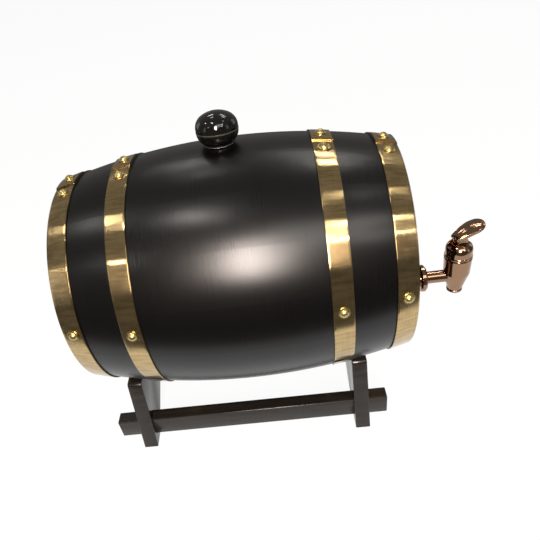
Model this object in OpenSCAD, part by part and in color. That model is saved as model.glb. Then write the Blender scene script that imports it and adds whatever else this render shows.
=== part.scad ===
// Small oak cask on its cradle stand, with a bung knob on top and a lever tap.
// Millimetres. +X points to the tap, +Z is up, and -Y is the side that faces the user.
// The origin lies on the table, under the middle of the whole object.

/* [Cask] */
// Length of the cask from end to end
cask_len = 256; // [236:1:280]
// Largest diameter, at the bilge
bilge_d = 200; // [190:1:220]
// Diameter at each end of the staves
end_d = 168; // [156:1:176]
// Thickness of a stave
stave_t = 10; // [8:0.5:12]
// Number of staves
stave_count = 16; // [12:1:20]
// Width of the bevel inside each end of the staves
chime_bevel = 3; // [1:0.5:5]

/* [Heads] */
// Depth of each head below the ends of the staves
head_recess = 10; // [8:0.5:13]
// Thickness of a head
head_t = 10; // [8:0.5:12]
// Depth of the croze, the groove that holds a head
croze_depth = 3; // [2:0.5:5]
// Width of the croze
croze_w = 5; // [3:0.5:7]
// Width of the middle board of a head
mid_board_w = 58; // [48:1:70]
// Diameter of the dowels between the boards of a head
dowel_d = 5; // [4:0.5:6]
// Length of a dowel
dowel_len = 24; // [16:1:30]
// Height of the dowels above and below the middle of a head
dowel_offset = 32; // [20:1:40]

/* [Hoops] */
// Width of an end hoop
end_hoop_w = 15.4; // [12:0.2:18]
// Width of a quarter hoop
quarter_hoop_w = 15; // [12:0.2:16]
// Distance between the two quarter hoops
quarter_hoop_gap = 134; // [124:1:140]
// Thickness of the hoop strip
hoop_t = 1; // [0.6:0.1:1.6]
// Angle from the top to the visible end of the strip, towards the front
lap_end_angle = 2; // [0:0.5:3]
// Angle over which the strip lies double
lap_angle = 14; // [12:1:20]

/* [Hoop nails] */
// Diameter of a nail's domed head
nail_head_d = 8.8; // [7:0.2:10]
// Height of the domed head
nail_head_h = 2.8; // [1.6:0.2:4]
// Thickness of the flat rim round the dome
nail_rim_t = 0.6; // [0.4:0.1:1]
// Diameter of the nail's shank
nail_shank_d = 2; // [1.6:0.1:2.4]
// Length of the shank
nail_len = 7; // [5:0.5:8]
// Angle of the side nails from the top
side_nail_angle = 84; // [70:1:100]
// Angle from the top to the lap nail on the front side
front_lap_nail_angle = 7.8; // [7:0.2:10]
// Angle from the top to the lap nail on the rear side
rear_lap_nail_angle = 6.2; // [5:0.2:8]

/* [Bung] */
// Angle from the top to the bung, towards the front side
bung_angle = -4.3; // [-6:0.1:6]
// Diameter of the bunghole
bunghole_d = 20; // [18:0.5:22]
// Largest diameter of the knob
knob_d = 31.6; // [29:0.2:34]
// Height of the knob above the stave
knob_h = 23.8; // [23:0.2:28]
// Height of the seam ring above the stave
seam_z = 9.9; // [9:0.1:10.8]
// Height of the seam ring itself
seam_h = 0.9; // [0.6:0.1:1.4]
// Diameter of the knob's foot
knob_foot_d = 23.2; // [21:0.2:24]
// Height of the foot's rim
knob_foot_h = 1.4; // [1:0.2:2.4]
// Radius of the shoulder between the knob's side and its crown
knob_shoulder_r = 9.8; // [7:0.1:9.8]
// Length of the plug below the knob
plug_len = 16; // [14:1:20]
// Thickness of the silicone sleeve on the plug
sleeve_t = 1.6; // [1.2:0.1:2.2]
// Diameter of the screw through the plug
knob_screw_d = 4; // [3:0.5:5]

/* [Tap] */
// Distance from the cask's axis down to the tap's shank
tap_drop = 43.5; // [38:0.5:46]
// Distance from the cask's end to the tap's upright axis
tap_reach = 56; // [50:0.2:64]
// Diameter of the threaded shank
shank_d = 16; // [14:0.5:18]
// Diameter of the bore through the shank
shank_bore_d = 8; // [6:0.5:9]
// Diameter of the flange on the cask's head
flange_d = 27; // [24:0.5:30]
// Thickness of the flange
flange_t = 3; // [2:0.5:4]
// Thickness of the rubber washers on both sides of the head
washer_t = 2; // [1:0.5:3]
// Diameter of the stout neck behind the ring
stout_neck_d = 15; // [13:0.5:17]
// Diameter of the ring on the neck
neck_ring_d = 23.6; // [20:0.2:26]
// Thickness of the ring
neck_ring_t = 5.5; // [4:0.5:7]
// Distance from the ring's front face to the tap's upright axis
neck_ring_reach = 26.6; // [24:0.2:32]
// Diameter of the thin neck in front of the ring
neck_d = 10.8; // [10:0.2:12]
// Diameter across the flats of the back nut
nut_af = 24; // [22:1:27]
// Thickness of the back nut
nut_t = 6; // [5:0.5:8]
// Diameter of the tap's body at its top
tap_body_d = 23.2; // [22:0.2:25]
// Diameter of the tap's body where the cone begins
tap_waist_d = 22; // [20:0.2:22.4]
// Diameter of the spout at its lip
spout_d = 13.4; // [13:0.2:15]
// Diameter of the outlet bore
outlet_d = 9; // [7:0.5:10]
// Distance from the shank's axis up to the bonnet
bonnet_z = 20.5; // [19:0.5:23]
// Distance from the shank's axis up to the cone's wide end
cone_z = 4; // [3:0.5:6]
// Distance from the shank's axis down to the spout's lip
spout_z = 16.2; // [15:0.2:20]
// Height of the bonnet above the body
bonnet_h = 13.7; // [12:0.2:16]
// Height of the bead at the bonnet's foot
bead_h = 2.6; // [2:0.2:4]

/* [Tap lever] */
// Turn of the bonnet's slot, with the lever in it, away from the cask's axis
bonnet_turn = 16; // [0:1:30]
// Lean of the lever when it is shut, measured from upright
lever_lean = 65; // [58:1:70]
// Distance from the pin to the middle of the lever's round end
lever_reach = 14.6; // [13:0.2:18]
// Radius of the lever's round end
lever_end_r = 8.9; // [8:0.1:10]
// Widening of each side of the lever, in millimetres a millimetre
lever_flare = 0.24; // [0.16:0.02:0.28]
// Distance from the pin to the lever's flat underside
lever_rise = 3.6; // [3.6:0.1:4]
// Thickness of the lever at the top of its crown
lever_t = 4.4; // [4:0.2:5.4]
// Radius of the crown across the lever
lever_crown_r = 17.5; // [15:0.5:24]
// Radius of the crown along the lever
lever_bow_r = 40; // [36:1:60]
// Width of the lever's hub
hub_w = 9; // [8:0.5:10]
// Radius of the lever's hub
hub_r = 4.6; // [4:0.2:5]
// Diameter of the cross pin
pin_d = 3; // [2:0.5:3.5]
// Diameter of the valve stem
stem_d = 4; // [3.5:0.1:4.4]

/* [Stand] */
// Height of the cask's axis above the table
axis_h = 150; // [140:1:165]
// Distance that the cask lies towards the tap from the stand's middle
cask_shift = 7.6; // [6:0.2:7.8]
// Thickness of a cradle board
board_t = 12.8; // [11:0.2:13]
// Distance between the two cradle boards
board_gap = 183.6; // [180:0.2:184]
// Width of a cradle board over its feet
foot_span = 144.6; // [140:1:170]
// Width of a cradle board over its horns
horn_span = 112.6; // [110:1:124]
// Height of the horns above the table
horn_h = 70; // [66:1:76]
// Radius of the rounded tip of a horn
horn_r = 3.5; // [1:0.5:5]
// Width of a foot on the table
foot_w = 15.3; // [12:0.5:20]
// Height of the arch under a cradle board
arch_h = 29; // [20:1:32]
// Radius at the top of the arch
arch_r = 14; // [6:1:20]
// Thickness of a rail
rail_t = 12; // [9:0.5:14]
// Height of a rail
rail_h = 19.6; // [16:0.2:22]
// Height of the rails' underside above the table
rail_z = 8.5; // [7:0.5:11]
// Distance between the outer faces of the two rails
rail_span = 126.4; // [120:0.2:130]
// Length of rail that stands out behind the rear board
rail_out_rear = 19.6; // [10:0.2:24]
// Length of rail that stands out in front of the front board
rail_out_front = 16.6; // [10:0.2:24]

/* [Fits] */
// Gap between glued or driven pieces
glue_gap = 0.05; // [0.02:0.01:0.1]
// Running gap round a piece that slides or turns
run_gap = 0.08; // [0.04:0.01:0.1]
// Free gap between pieces that only pass each other
free_gap = 0.3; // [0.2:0.05:0.5]

/* [Hidden] */

$fn = 96;
big_fn = 720;      // facets of the long curve of the staves, in previews
eps = 0.01;        // overlap that keeps cuts clean
over = 1;          // how far a cut runs past the piece that it cuts

bilge_r = bilge_d / 2;
half_len = cask_len / 2;
end_drop = (bilge_d - end_d) / 2;
bend_r = (half_len * half_len + end_drop * end_drop) / (2 * end_drop);
stave_angle = 360 / stave_count;

head_mid_x = half_len - head_recess - head_t / 2;
croze_r = cask_r(head_mid_x) - stave_t + croze_depth;
head_r = croze_r - glue_gap;
head_lip_r = cask_r(half_len) - stave_t - free_gap;
head_bevel_r = head_lip_r - head_t / 2;

hoop_in = glue_gap;
hoop_out = hoop_in + hoop_t;
quarter_x = quarter_hoop_gap / 2;
end_hoop_mid = half_len - end_hoop_w / 2;
quarter_hoop_mid = quarter_x + quarter_hoop_w / 2;
hoop_mids = [end_hoop_mid, quarter_hoop_mid, -quarter_hoop_mid, -end_hoop_mid];
nail_rim_w = 0.8;  // width of the flat rim round a nail's dome

plug_r = bunghole_d / 2 - free_gap - sleeve_t;
sleeve_r = plug_r + sleeve_t;
rib_r = bunghole_d / 2 - run_gap;
rib_h = 1.2;
plug_foot_h = 1.5;
knob_r = knob_d / 2;
knob_foot_r = knob_foot_d / 2;
knob_foot_z = free_gap;
knob_foot_sink = 0.6;  // how far the foot's rim runs up into the bowl
knob_side_h = 1.6; // height of the straight side above the seam ring
ring_w = 3;        // width of the seam ring, seen from above
ring_out = 0.1;    // how far the seam ring stands out of the knob
screw_r = knob_screw_d / 2;
screw_head_h = 2;
screw_bite = 8;    // length of the screw inside the cap

tap_x = half_len + tap_reach;
tap_z = -tap_drop;
head_face = half_len - head_recess;
shank_past_nut = 3;
shank_end = head_face - head_t - washer_t - nut_t - shank_past_nut;
rim_bevel = 0.5;   // bevel at the top of the tap's body
chamber_r = 7;     // room round the valve
seat_z = -4.5;     // height of the valve's seat
spring_room_r = 5;
bonnet_thread_l = 7;
bonnet_step = 0.4; // how far the bonnet's side lies inside its bead
slot_depth = 3.6;  // depth of the lever's slot in the bonnet
guide_h = 3.6;     // thickness of the bonnet round the stem
slot_w = hub_w + 2 * free_gap;
bonnet_top = bonnet_z + bonnet_h;
bonnet_shoulder_r = 7;
bonnet_r = tap_body_d / 2 - bonnet_step;
slot_z = bonnet_top - slot_depth;
pin_z = slot_z + free_gap + hub_r;
spring_top = slot_z - guide_h;
cup_h = 5.5;       // height of the rubber cup that closes the seat
cup_floor = 1.5;   // thickness of the cup under the stem
tongue_t = 3.4;    // thickness of the stem's flat tongue
eye_r = 3.2;       // radius of the eye in the tongue
ear_gap = tongue_t + 0.4;

board_in = board_gap / 2;
board_out = board_in + board_t;
rail_y = rail_span / 2 - rail_t / 2;

lever_out = sin(lever_lean) * cos(bonnet_turn);
lever_tip_x = cask_shift + tap_x + lever_reach * lever_out
    + lever_end_r * sqrt(lever_out * lever_out + sin(bonnet_turn) * sin(bonnet_turn))
    - lever_rise * cos(lever_lean) * cos(bonnet_turn);
rear_x = -board_out - rail_out_rear;
middle_x = (lever_tip_x + rear_x) / 2;

// Name of a stave, counted round the cask from the bung stave
function stave_name(i) = str("stave_", i < 10 ? "0" : "", i);

// Outer radius of the staves at a distance x from the bilge
function cask_r(x) = bilge_r - bend_r + sqrt(bend_r * bend_r - x * x);

// Slope of the staves' outside at x, in degrees
function cask_slope(x) = asin(x / bend_r);

// Smallest angle between two directions
function turn_between(a, b) = abs((a - b + 540) % 360 - 180);

// Points on an arc from angle a to angle b
function arc_points(centre, r, a, b, steps = 12) =
    [for (i = [0 : steps]) let (t = a + (b - a) * i / steps)
        centre + r * [cos(t), sin(t)]];

// Moves a piece of the stand from the stand's middle to its place
module on_stand() { translate([-middle_x, 0, 0]) children(); }

// Moves a piece of the cask from the cask's centre to its place
module on_cask() { on_stand() translate([cask_shift, 0, axis_h]) children(); }

// Moves a piece of the tap from where the shank meets the body to its place
module on_tap() { on_cask() translate([tap_x, 0, tap_z]) children(); }

// Moves a piece of the valve or the lever, whose middle plane turns with the bonnet's slot
module on_slot() { on_tap() rotate([0, 0, bonnet_turn]) children(); }

// Moves a piece of the knob from the top of the bung stave to its place
module on_bung() { on_cask() on_bung_stave() translate([0, 0, bilge_r]) children(); }

// Turns a piece about the cask's axis, from the top to the middle of the bung stave
module on_bung_stave() { rotate([bung_angle, 0, 0]) children(); }

// Lays a piece turned about Z along the cask's axis: its front lies on top
module along_axis() { rotate([180, 0, 0]) rotate([0, 90, 0]) children(); }

// A solid turned about the cask's axis, from angle a over a turn
module turned(a = 0, turn = 360) {
    along_axis() rotate([0, 0, a]) rotate_extrude(angle = turn) children();
}

// The space between two curves that follow the outside of the staves, from x0 to x1
module cask_band(inner, outer, x0, x1) {
    intersection() {
        difference() {
            translate([bilge_r - bend_r, 0]) circle(r = bend_r + outer, $fn = big_fn);
            translate([bilge_r - bend_r, 0]) circle(r = bend_r + inner, $fn = big_fn);
        }
        translate([eps, x0]) square([bilge_r * 2, x1 - x0]);
    }
}

// ---- staves

module stave_section() {
    difference() {
        cask_band(-stave_t, 0, -half_len, half_len);
        for (side = [-1, 1]) {
            translate([0, side * head_mid_x - croze_w / 2]) square([croze_r, croze_w]);
            chime_cut(side);
        }
    }
}

module chime_cut(side) {
    inner_r = cask_r(half_len) - stave_t;
    polygon([
        [inner_r - stave_t, side * (half_len + eps)],
        [inner_r + chime_bevel, side * (half_len + eps)],
        [inner_r - stave_t, side * (half_len - stave_t - chime_bevel)]]);
}

module stave(i) {
    middle = bung_angle + i * stave_angle;
    color([0.11, 0.105, 0.1]) on_cask() difference() {
        turned(middle - stave_angle / 2, stave_angle) stave_section();
        nail_holes(middle, stave_angle / 2 + 4);
        if (i == 0) on_bung_stave() cylinder(d = bunghole_d, h = bilge_r * 2);
    }
}

// ---- heads

module head_disc(side) {
    edge = croze_w / 2 - glue_gap;
    face = head_t / 2;
    translate([side * head_mid_x, 0, 0]) turned() polygon([
        [0, -face], [head_bevel_r, -face], [head_lip_r, -edge], [head_r, -edge],
        [head_r, edge], [head_lip_r, edge], [head_bevel_r, face], [0, face]]);
}

// One of the three upright boards of a head: part is -1, 0 or 1, from front to rear
module head_board(side, part) {
    width = part == 0 ? mid_board_w : bilge_r;
    y = part * (mid_board_w + bilge_r) / 2;
    color([0.1, 0.095, 0.09]) on_cask() difference() {
        intersection() {
            head_disc(side);
            translate([side * head_mid_x, y, 0])
                cube([head_t + 2, width, bilge_d], center = true);
        }
        dowel_places(side) cylinder(d = dowel_d + 2 * glue_gap,
            h = dowel_len + 2 * glue_gap, center = true);
        if (side == 1 && part == 0) translate([0, 0, tap_z]) rotate([0, 90, 0])
            cylinder(d = shank_d + 4 * glue_gap, h = cask_len);
    }
}

module dowel_places(side) {
    for (seam = [-1, 1], level = [-1, 1])
        translate([side * head_mid_x, seam * mid_board_w / 2, level * dowel_offset])
            rotate([90, 0, 0]) children();
}

module head_dowels() {
    color([0.72, 0.53, 0.33]) on_cask() for (side = [-1, 1])
        dowel_places(side) cylinder(d = dowel_d, h = dowel_len, center = true);
}

// ---- hoops and their nails

module hoop(x0, x1) {
    color([0.83, 0.68, 0.4]) on_cask() difference() {
        intersection() {
            union() {
                turned() cask_band(hoop_in, hoop_out, x0 - over, x1 + over);
                turned(lap_end_angle - lap_angle, lap_angle)
                    cask_band(hoop_out - hoop_t / 2, hoop_out + hoop_t, x0 - over, x1 + over);
            }
            translate([x0, -bilge_d, -bilge_d]) cube([x1 - x0, 2 * bilge_d, 2 * bilge_d]);
        }
        nail_holes(0, 180);
    }
}

// Places a nail at x and at an angle from the top, upright on the hoop
module nail_place(x, angle, layers) {
    rotate([angle, 0, 0]) translate([x, 0, cask_r(x)]) rotate([0, cask_slope(x), 0])
        translate([0, 0, hoop_in + layers * hoop_t + glue_gap]) children();
}

module lap_nail_places(x) {
    nail_place(x, front_lap_nail_angle, 1) children();
    nail_place(x, -rear_lap_nail_angle, 2) children();
}

module side_nail_places(x) {
    for (side = [-1, 1]) nail_place(x, side * side_nail_angle, 1) children();
}

module nail() {
    dome_d = nail_head_d - 2 * nail_rim_w;
    dome_h = nail_head_h - nail_rim_t;
    ball_r = (dome_d * dome_d / 4 + dome_h * dome_h) / (2 * dome_h);
    cylinder(d = nail_head_d, h = nail_rim_t);
    intersection() {
        translate([0, 0, nail_head_h - ball_r]) sphere(r = ball_r);
        cylinder(d = dome_d, h = nail_head_h + over);
    }
    translate([0, 0, -nail_len]) cylinder(d = nail_shank_d, h = nail_len + eps);
}

module nail_hole() {
    translate([0, 0, -nail_len - glue_gap])
        cylinder(d = nail_shank_d + 2 * glue_gap, h = nail_len + 3 * hoop_t);
}

// Holes for the nails that lie within a reach of the angle middle
module nail_holes(middle, reach) {
    for (x = hoop_mids) {
        if (turn_between(front_lap_nail_angle, middle) <= reach)
            nail_place(x, front_lap_nail_angle, 1) nail_hole();
        if (turn_between(-rear_lap_nail_angle, middle) <= reach)
            nail_place(x, -rear_lap_nail_angle, 2) nail_hole();
        for (side = [-1, 1])
            if (turn_between(side * side_nail_angle, middle) <= reach)
                nail_place(x, side * side_nail_angle, 1) nail_hole();
    }
}

module lap_nails() {
    color([0.9, 0.72, 0.3]) on_cask() for (x = hoop_mids) lap_nail_places(x) nail();
}

module side_nails() {
    color([0.9, 0.72, 0.3]) on_cask() for (x = hoop_mids) side_nail_places(x) nail();
}

// ---- bung

module knob_cap() {
    shoulder_x = knob_r - knob_shoulder_r;
    base_z = seam_z + seam_h;
    shoulder_z = base_z + knob_side_h;
    rise = knob_h - shoulder_z;
    crown_r = (shoulder_x * shoulder_x + rise * rise - knob_shoulder_r * knob_shoulder_r)
        / (2 * (rise - knob_shoulder_r));
    crown_z = knob_h - crown_r;
    above = knob_h + over;
    color([0.03, 0.03, 0.03]) on_bung() difference() {
        rotate_extrude() intersection() {
            union() {
                translate([shoulder_x, shoulder_z]) circle(r = knob_shoulder_r);
                square([knob_r, shoulder_z]);
                intersection() {
                    translate([0, crown_z]) circle(r = crown_r);
                    polygon([[0, crown_z], [0, above], [(above - crown_z) * shoulder_x
                        / (shoulder_z - crown_z), above]]);
                }
            }
            translate([0, base_z]) square([knob_r, knob_h]);
        }
        cylinder(r = screw_r + glue_gap, h = base_z + screw_bite);
    }
}

module knob_seam_ring() {
    color([0.55, 0.55, 0.52]) on_bung() translate([0, 0, seam_z]) difference() {
        cylinder(r = knob_r + ring_out, h = seam_h);
        translate([0, 0, -eps]) cylinder(r = knob_r - ring_w, h = seam_h + 2 * eps);
    }
}

module knob_base() {
    bowl_rise = seam_z - knob_foot_h;
    bowl_out = knob_r - knob_foot_r;
    bowl_r = (bowl_rise * bowl_rise + bowl_out * bowl_out) / (2 * bowl_out);
    spigot_r = knob_r - ring_w - glue_gap;
    color([0.03, 0.03, 0.03]) on_bung() difference() {
        union() {
            rotate_extrude() intersection() {
                translate([knob_r - bowl_r, seam_z]) circle(r = bowl_r, $fn = big_fn / 2);
                translate([0, knob_foot_z]) square([knob_r, seam_z - knob_foot_z]);
            }
            translate([0, 0, knob_foot_z])
                cylinder(r = knob_foot_r, h = knob_foot_h + knob_foot_sink - knob_foot_z);
            translate([0, 0, seam_z - eps]) cylinder(r = spigot_r, h = seam_h + eps);
        }
        cylinder(r = screw_r + glue_gap, h = knob_h);
    }
}

module bung_plug() {
    color([0.7, 0.52, 0.32]) on_bung() difference() {
        union() {
            translate([0, 0, -plug_len]) cylinder(r = plug_r, h = plug_len + knob_foot_z);
            translate([0, 0, -plug_len]) cylinder(r = sleeve_r, h = plug_foot_h);
        }
        translate([0, 0, -plug_len - eps])
            cylinder(r = screw_r + glue_gap, h = plug_len + over);
        translate([0, 0, -plug_len - eps])
            cylinder(r = screw_r * 2 + glue_gap, h = screw_head_h + glue_gap);
    }
}

module bung_sleeve() {
    foot = -plug_len + plug_foot_h + glue_gap;
    sleeve_l = -foot - free_gap;
    color([0.8, 0.8, 0.77]) on_bung() difference() {
        union() {
            translate([0, 0, foot]) cylinder(r = sleeve_r, h = sleeve_l);
            for (k = [1 : 3]) translate([0, 0, foot + k * sleeve_l / 4 - rib_h / 2])
                cylinder(r = rib_r, h = rib_h);
        }
        translate([0, 0, foot - eps]) cylinder(r = plug_r + glue_gap, h = sleeve_l + over);
    }
}

module knob_screw() {
    color([0.7, 0.7, 0.7]) on_bung() {
        translate([0, 0, -plug_len]) cylinder(r = screw_r * 2, h = screw_head_h);
        translate([0, 0, -plug_len])
            cylinder(r = screw_r, h = plug_len + seam_z + seam_h + screw_bite - over);
    }
}

// ---- tap, measured from where the shank's axis meets the body's upright axis

module tap_body() {
    lip_h = 2.8;
    lip_bevel = 0.8;
    lip_step = 0.5;    // how far the lip stands out of the cone above it
    lip_r = spout_d / 2;
    body_r = tap_body_d / 2;
    ring_r = neck_ring_d / 2;
    ring_front = -neck_ring_reach;
    ring_back = ring_front - neck_ring_t;
    ring_bevel = 1.4;
    flange_bevel = 1;
    flange_back = head_face - tap_x + washer_t;
    color([0.72, 0.44, 0.34]) on_tap() difference() {
        union() {
            rotate_extrude() polygon([
                [0, -spout_z], [lip_r - lip_bevel, -spout_z], [lip_r, -spout_z + lip_bevel],
                [lip_r, -spout_z + lip_h - lip_step], [lip_r - lip_step, -spout_z + lip_h],
                [tap_waist_d / 2, cone_z], [body_r, bonnet_z - 2 * rim_bevel],
                [body_r - rim_bevel, bonnet_z], [0, bonnet_z]]);
            rotate([0, -90, 0]) cylinder(d = neck_d, h = neck_ring_reach + eps);
            rotate([0, 90, 0]) rotate_extrude() polygon([
                [0, ring_back], [ring_r - ring_bevel, ring_back],
                [ring_r, ring_back + ring_bevel], [ring_r, ring_front - ring_bevel],
                [ring_r - ring_bevel, ring_front], [0, ring_front]]);
            translate([flange_back, 0, 0]) rotate([0, 90, 0]) {
                cylinder(d = stout_neck_d, h = ring_back - flange_back + eps);
                cylinder(d = flange_d, h = flange_t - flange_bevel);
                translate([0, 0, flange_t - flange_bevel])
                    cylinder(d1 = flange_d, d2 = flange_d - 2 * flange_bevel, h = flange_bevel);
            }
            translate([shank_end - tap_x, 0, 0]) rotate([0, 90, 0])
                cylinder(d = shank_d, h = flange_back - shank_end + tap_x + eps);
        }
        translate([shank_end - tap_x - eps, 0, 0]) rotate([0, 90, 0])
            cylinder(d = shank_bore_d, h = tap_x - shank_end);
        translate([0, 0, seat_z]) cylinder(r = chamber_r, h = bonnet_z - seat_z + over);
        translate([0, 0, -spout_z - eps]) cylinder(d = outlet_d, h = spout_z);
    }
}

module tap_bonnet() {
    shoulder = bonnet_r - bonnet_shoulder_r;
    shoulder_z = bonnet_top - bonnet_shoulder_r;
    color([0.74, 0.47, 0.36]) on_slot() difference() {
        union() {
            translate([0, 0, bonnet_z - bonnet_thread_l])
                cylinder(r = chamber_r - glue_gap, h = bonnet_thread_l + eps);
            rotate_extrude() {
                translate([0, bonnet_z]) square([tap_body_d / 2 - rim_bevel, bead_h]);
                translate([tap_body_d / 2 - bead_h / 2, bonnet_z + bead_h / 2])
                    circle(d = bead_h);
                translate([0, bonnet_z]) square([bonnet_r, shoulder_z - bonnet_z]);
                translate([0, bonnet_z]) square([shoulder, bonnet_h]);
                intersection() {
                    translate([shoulder, shoulder_z]) circle(r = bonnet_shoulder_r);
                    translate([0, shoulder_z]) square([bonnet_r, bonnet_h]);
                }
            }
        }
        translate([0, 0, bonnet_z - bonnet_thread_l - eps])
            cylinder(r = spring_room_r, h = spring_top - bonnet_z + bonnet_thread_l);
        cylinder(d = stem_d + 2 * run_gap, h = bonnet_top);
        translate([-tap_body_d, -slot_w / 2, slot_z]) cube([2 * tap_body_d, slot_w, bonnet_h]);
    }
}

module washer() {
    rotate([0, 90, 0]) difference() {
        cylinder(d = flange_d - 1, h = washer_t - glue_gap);
        translate([0, 0, -eps]) cylinder(d = shank_d + 2 * glue_gap, h = washer_t + over);
    }
}

module outer_washer() {
    color([0.15, 0.15, 0.15]) on_cask() translate([head_face, 0, tap_z]) washer();
}

module inner_washer() {
    color([0.15, 0.15, 0.15]) on_cask()
        translate([head_face - head_t - washer_t + glue_gap, 0, tap_z]) washer();
}

module back_nut() {
    color([0.72, 0.44, 0.34]) on_cask()
        translate([head_face - head_t - washer_t - nut_t, 0, tap_z]) rotate([0, 90, 0])
        difference() {
            cylinder(d = nut_af / cos(30), h = nut_t, $fn = 6);
            translate([0, 0, -eps]) cylinder(d = shank_d + 2 * glue_gap, h = nut_t + over);
        }
}

module valve_stem() {
    foot = seat_z + cup_floor;
    flat_z = slot_z - 1.6;     // above this height the stem is a flat tongue
    color([0.75, 0.75, 0.75]) on_slot() difference() {
        union() {
            translate([0, 0, foot]) cylinder(d = stem_d, h = flat_z - foot);
            intersection() {
                union() {
                    translate([0, 0, foot]) cylinder(d = stem_d, h = pin_z - foot);
                    translate([0, 0, pin_z]) rotate([90, 0, 0])
                        cylinder(r = eye_r, h = stem_d, center = true);
                }
                cube([stem_d * 2, tongue_t, pin_z * 3], center = true);
            }
        }
        translate([0, 0, pin_z]) rotate([90, 0, 0])
            cylinder(d = pin_d + 2 * run_gap, h = stem_d * 2, center = true);
    }
}

module seat_cup() {
    seat_lap = 1.7;    // how far the cup reaches past the edge of the outlet
    cup_r = outlet_d / 2 + seat_lap;
    boss_r = stem_d / 2 + 1.2;
    rim_h = 2.2;
    color([0.85, 0.85, 0.82]) on_tap() difference() {
        union() {
            translate([0, 0, seat_z + run_gap]) cylinder(r = cup_r, h = rim_h);
            translate([0, 0, seat_z + run_gap + rim_h])
                cylinder(r1 = cup_r, r2 = boss_r, h = cup_h - rim_h - run_gap);
        }
        translate([0, 0, seat_z + cup_floor - glue_gap])
            cylinder(d = stem_d + 2 * glue_gap, h = cup_h);
    }
}

// The lever's plate: local Z runs along it and local -X is its crowned top
module lever_plate() {
    root_z = -4.4;
    bow_z = 9;         // where the crown is highest
    top = lever_rise + lever_t;
    lean_r = sqrt(1 + lever_flare * lever_flare);
    side_y = lever_end_r / lean_r;
    side_z = lever_reach - lever_end_r * lever_flare / lean_r;
    root_y = side_y - lever_flare * (side_z - root_z);
    intersection() {
        translate([-top, 0, 0]) rotate([90, 0, 90]) linear_extrude(lever_t) {
            polygon([[-root_y, root_z], [root_y, root_z], [side_y, side_z], [-side_y, side_z]]);
            translate([0, lever_reach]) circle(r = lever_end_r);
        }
        translate([lever_crown_r - top, 0, 0])
            cylinder(r = lever_crown_r, h = 4 * lever_reach, center = true);
        translate([lever_bow_r - top, 0, bow_z]) rotate([90, 0, 0])
            cylinder(r = lever_bow_r, h = 4 * lever_end_r, center = true);
    }
}

module tap_lever() {
    color([0.74, 0.47, 0.36]) on_slot() translate([0, 0, pin_z]) difference() {
        union() {
            rotate([0, lever_lean, 0]) lever_plate();
            rotate([90, 0, 0]) cylinder(r = hub_r, h = hub_w, center = true);
            translate([0, -hub_w / 2, -hub_r]) cube([hub_r, hub_w, hub_r]);
        }
        rotate([90, 0, 0]) cylinder(d = pin_d + 2 * glue_gap, h = hub_w * 3, center = true);
        translate([0, 0, -hub_r * 2]) cube([hub_r * 4, ear_gap, hub_r * 4], center = true);
        rotate([90, 0, 0]) cylinder(r = eye_r + free_gap, h = ear_gap, center = true);
    }
}

module lever_pin() {
    color([0.7, 0.7, 0.7]) on_slot() translate([0, 0, pin_z]) rotate([90, 0, 0])
        cylinder(d = pin_d, h = hub_w, center = true);
}

// Coil round the valve stem: one tube swept along a helix
module return_spring() {
    wire_r = 0.4;
    coil_r = spring_room_r - wire_r - free_gap;
    turns = 6;
    steps = 14;
    sides = 6;
    foot = seat_z + cup_h + free_gap + wire_r;
    rise = spring_top - free_gap - wire_r - foot;
    last = turns * steps;
    slope = atan(rise / (turns * 2 * PI * coil_r));
    points = [for (i = [0 : last], s = [0 : sides - 1])
        let (turn = i * 360 / steps, a = s * 360 / sides,
             out = wire_r * cos(a), up = wire_r * sin(a),
             centre = [coil_r * cos(turn), coil_r * sin(turn), foot + rise * i / last])
        centre + out * [cos(turn), sin(turn), 0]
            + up * [sin(slope) * sin(turn), -sin(slope) * cos(turn), cos(slope)]];
    walls = [for (i = [0 : last - 1], s = [0 : sides - 1], half = [0, 1])
        let (a = i * sides + s, b = i * sides + (s + 1) % sides)
        half == 0 ? [a, b, b + sides] : [a, b + sides, a + sides]];
    ends = [[for (s = [sides - 1 : -1 : 0]) s], [for (s = [0 : sides - 1]) last * sides + s]];
    color([0.75, 0.75, 0.75]) on_tap()
        polyhedron(points = points, faces = concat(walls, ends));
}

// ---- stand

// Outline of a cradle board: y across, z up
module cradle_outline(seat_r) {
    foot_y = foot_span / 2;
    horn_y = horn_span / 2;
    lean = atan((foot_y - horn_y) / horn_h);
    tip_y = horn_y - horn_r * tan((90 - lean) / 2);
    inner_y = foot_y - foot_w;
    arch_lean = atan(arch_h / inner_y);
    arch_top = arch_h - arch_r / cos(arch_lean);
    difference() {
        polygon(concat([[-foot_y, 0], [foot_y, 0]],
            arc_points([tip_y, horn_h - horn_r], horn_r, lean, 90),
            arc_points([-tip_y, horn_h - horn_r], horn_r, 90, 180 - lean)));
        translate([0, axis_h]) circle(r = seat_r);
        polygon(concat([[-inner_y, 0], [-inner_y - 1, -1], [inner_y + 1, -1], [inner_y, 0]],
            arc_points([0, arch_top], arch_r, 90 - arch_lean, 90 + arch_lean)));
    }
}

// A cradle board on side 1, under the tap end, or side -1
module cradle(side) {
    seat_r = cask_r(board_in - side * cask_shift) + free_gap;
    color([0.1, 0.085, 0.075]) on_stand() difference() {
        translate([side * (board_in + board_t / 2) - board_t / 2, 0, 0])
            rotate([90, 0, 90]) linear_extrude(board_t) cradle_outline(seat_r);
        for (y = [-rail_y, rail_y]) translate([0, y, rail_z + rail_h / 2])
            cube([board_out * 3, rail_t + 2 * glue_gap, rail_h + 2 * glue_gap], center = true);
    }
}

// A rail on side -1, towards the user, or side 1
module rail(side) {
    length = 2 * board_out + rail_out_rear + rail_out_front;
    color([0.1, 0.085, 0.075]) on_stand()
        translate([-board_out - rail_out_rear, side * rail_y - rail_t / 2, rail_z])
            cube([length, rail_t, rail_h]);
}

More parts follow.
